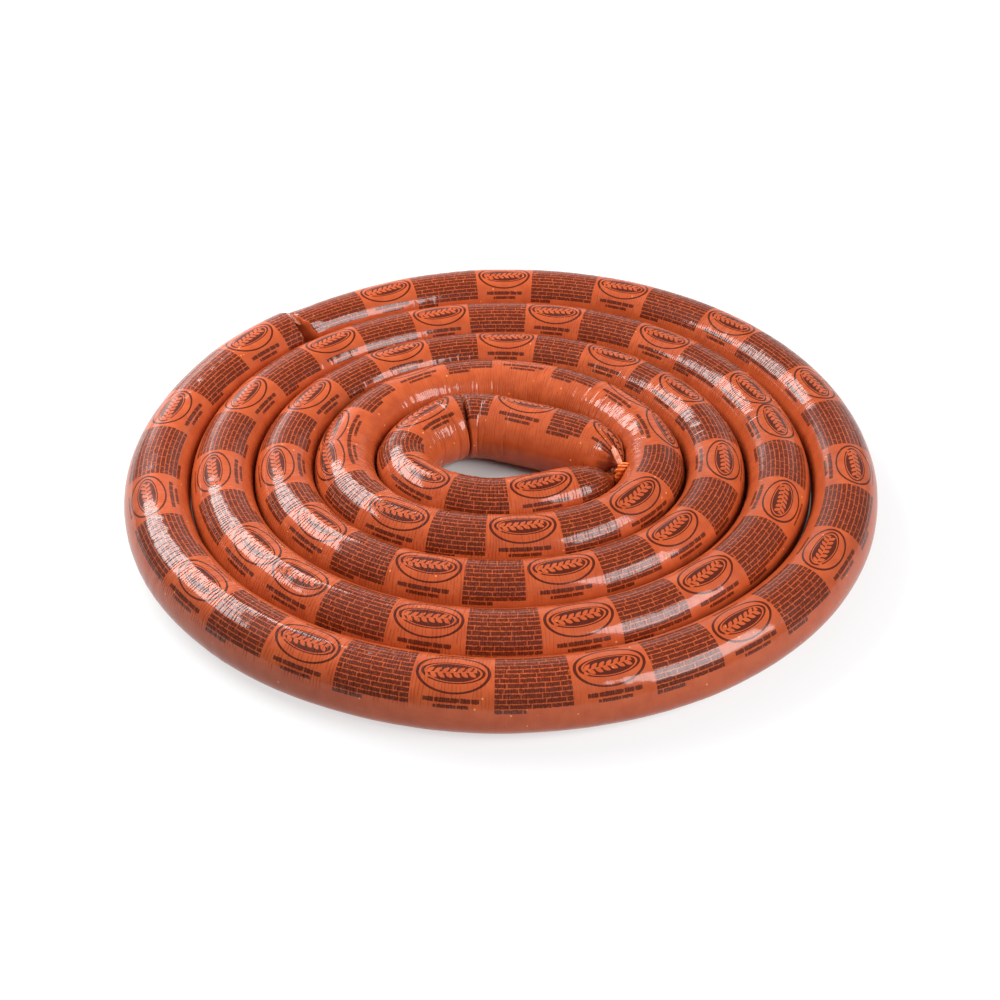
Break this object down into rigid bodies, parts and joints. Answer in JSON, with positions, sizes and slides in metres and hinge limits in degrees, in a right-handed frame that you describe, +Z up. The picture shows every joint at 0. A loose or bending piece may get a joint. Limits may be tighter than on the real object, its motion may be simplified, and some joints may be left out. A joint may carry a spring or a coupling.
{
  "type": "coiled sausage",
  "caption": "Long smooth sausage in glossy printed casing, laid flat in closed rings one inside the other, with a short loop in the middle.",
  "frame": {"origin": "on the ground, under the middle of the coil's outline", "axes": "+Z up, +X to the right of the side that faces the viewer, -Y the front"},
  "size_m": [0.3897, 0.3759, 0.0345],
  "materials": {
    "casing": "glossy printed casing, finely wrinkled",
    "twist": "twisted casing, glossy",
    "tab": "folded casing, glossy"
  },
  "bodies": {
    "root": {"outer_ring": "casing", "second_ring": "casing", "third_ring": "casing", "fourth_ring": "casing", "inner_ring": "casing", "outer_knot": "twist", "outer_tail": "twist", "inner_tab": "tab"}
  },
  "joints": []
}
